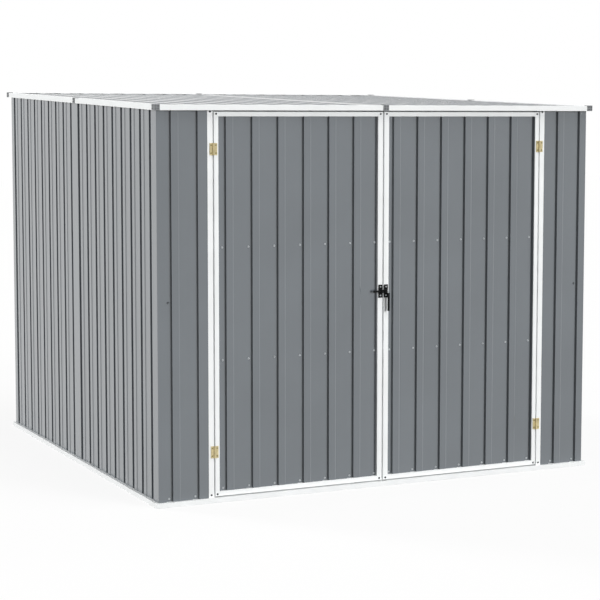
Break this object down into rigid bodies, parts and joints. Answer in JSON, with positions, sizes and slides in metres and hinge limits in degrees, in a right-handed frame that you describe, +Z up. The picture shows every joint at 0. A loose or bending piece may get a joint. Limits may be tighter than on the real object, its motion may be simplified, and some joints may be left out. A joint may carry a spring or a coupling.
{
  "type": "metal storage shed",
  "caption": "Free-standing garden shed of ribbed grey steel sheet with white trim, a low roof that rises to the back and double doors that swing outward on brass hinges.",
  "frame": {"origin": "middle of the roof's outline, projected to the ground", "axes": "+X to the right as one faces the doors, +Y from the doors to the back wall, +Z up"},
  "size_m": [1.938, 1.9807, 1.586],
  "materials": {
    "grey_sheet": "grey polyester paint on steel sheet, satin",
    "white_steel": "white powder coat, satin",
    "galvanised_steel": "zinc coated, dull",
    "brass": "plated, satin",
    "black_steel": "black powder coat, satin",
    "cap_plastic": "moulded, matte"
  },
  "bodies": {
    "shell": {"front_sill": "white_steel", "back_base_rail": "white_steel", "left_base_rail": "white_steel", "right_base_rail": "white_steel", "corner_posts": "galvanised_steel", "left_door_post": "white_steel", "right_door_post": "white_steel", "front_header": "white_steel", "back_top_rail": "galvanised_steel", "left_top_rail": "galvanised_steel", "right_top_rail": "galvanised_steel", "wall_mid_rails": "galvanised_steel", "front_left_panel": "grey_sheet", "front_right_panel": "grey_sheet", "left_wall_front_sheet": "grey_sheet", "left_wall_rear_sheet": "grey_sheet", "right_wall_front_sheet": "grey_sheet", "right_wall_rear_sheet": "grey_sheet", "back_wall_left_sheet": "grey_sheet", "back_wall_right_sheet": "grey_sheet", "roof_beams": "galvanised_steel", "roof_sheet_left": "grey_sheet", "roof_sheet_right": "grey_sheet", "front_roof_trim": "white_steel", "back_roof_trim": "white_steel", "left_roof_trim": "white_steel", "right_roof_trim": "white_steel", "roof_corner_caps": "cap_plastic", "roof_joint_caps": "cap_plastic", "frame_hinge_leaves": "brass"},
    "left_door": {"left_door_sheet": "grey_sheet", "left_door_hinge_stile": "white_steel", "left_door_meeting_stile": "white_steel", "left_door_rails": "white_steel", "left_door_braces": "galvanised_steel", "left_door_hinge_leaves": "brass", "latch_guide": "black_steel"},
    "right_door": {"right_door_sheet": "grey_sheet", "right_door_hinge_stile": "white_steel", "right_door_meeting_stile": "white_steel", "right_door_rails": "white_steel", "right_door_braces": "galvanised_steel", "right_door_hinge_leaves": "brass", "latch_keeper": "black_steel"},
    "latch_bolt": {"latch_bolt": "black_steel"}
  },
  "joints": [
    {"name": "left_door_swing", "type": "hinge", "parent": "shell", "child": "left_door", "pos_m": [-0.724, -0.9725, 0.75], "axis": [0, 0, -1], "range_deg": [0, 170]},
    {"name": "right_door_swing", "type": "hinge", "parent": "shell", "child": "right_door", "pos_m": [0.724, -0.9725, 0.75], "axis": [0, 0, 1], "range_deg": [0, 170]},
    {"name": "latch_slide", "type": "slide", "parent": "left_door", "child": "latch_bolt", "axis": [1, 0, 0], "range_m": [0, 0.02]}
  ]
}
